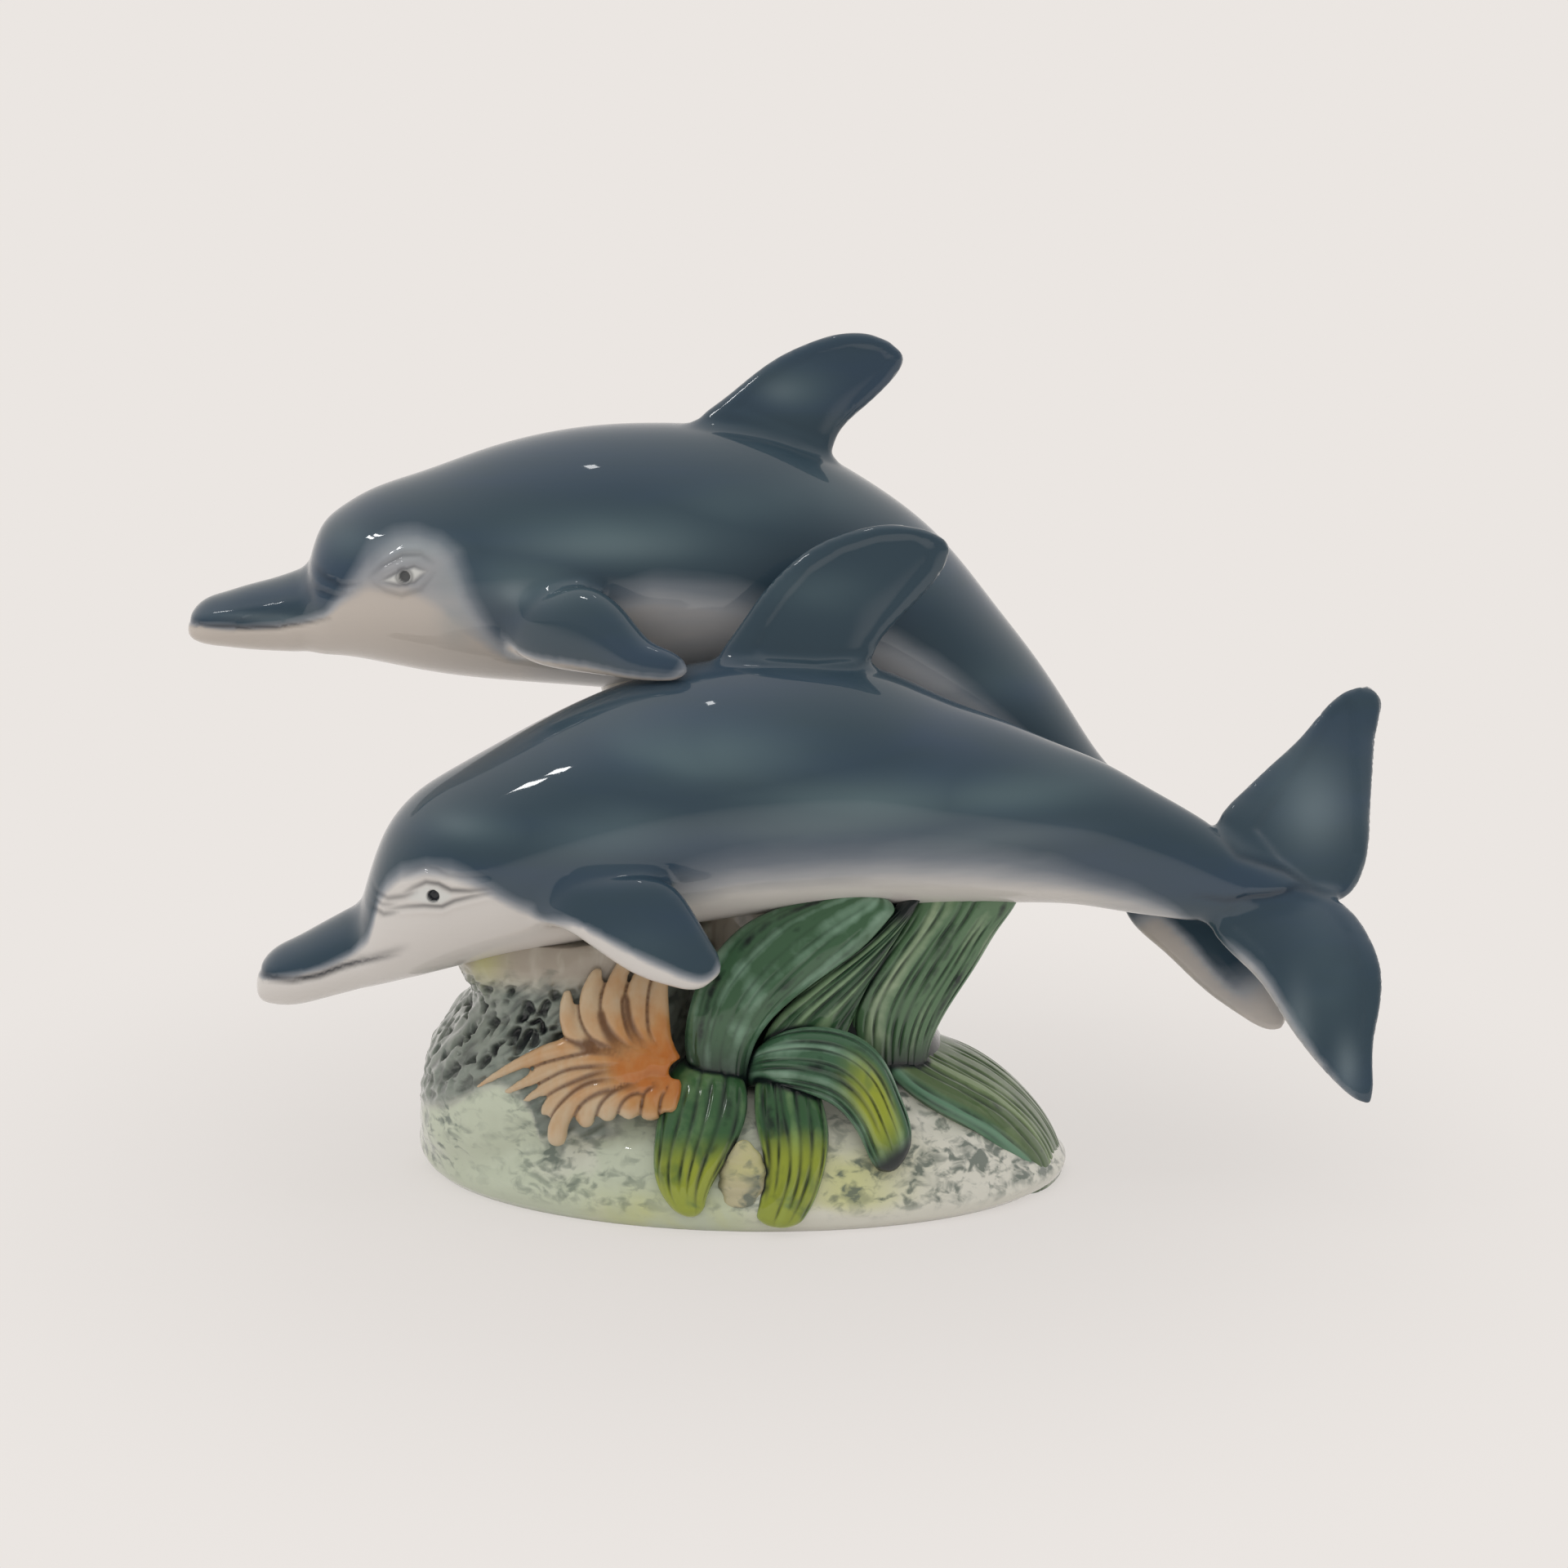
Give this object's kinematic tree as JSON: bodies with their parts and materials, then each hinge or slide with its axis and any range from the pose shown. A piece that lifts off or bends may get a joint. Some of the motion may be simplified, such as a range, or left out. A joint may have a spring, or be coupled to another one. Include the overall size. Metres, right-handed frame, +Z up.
{
  "type": "dolphin figurine",
  "caption": "Glazed earthenware figurine: two leaping dolphins joined to an oval sea-bed base with rock, weed and an anemone.",
  "frame": {"origin": "centre of the base's flat underside", "axes": "+X from the heads towards the tails, +Y away from the front of the figure, +Z up"},
  "size_m": [0.294, 0.1145, 0.2057],
  "materials": {
    "glazed_earthenware": "hand-painted under a clear glossy glaze: slate blue backs fading to cream bellies, green ribbed weed, orange anemone, grey pitted rock and a pale speckled mound"
  },
  "bodies": {
    "root": {"dolphin_figurine": "glazed_earthenware"}
  },
  "joints": []
}
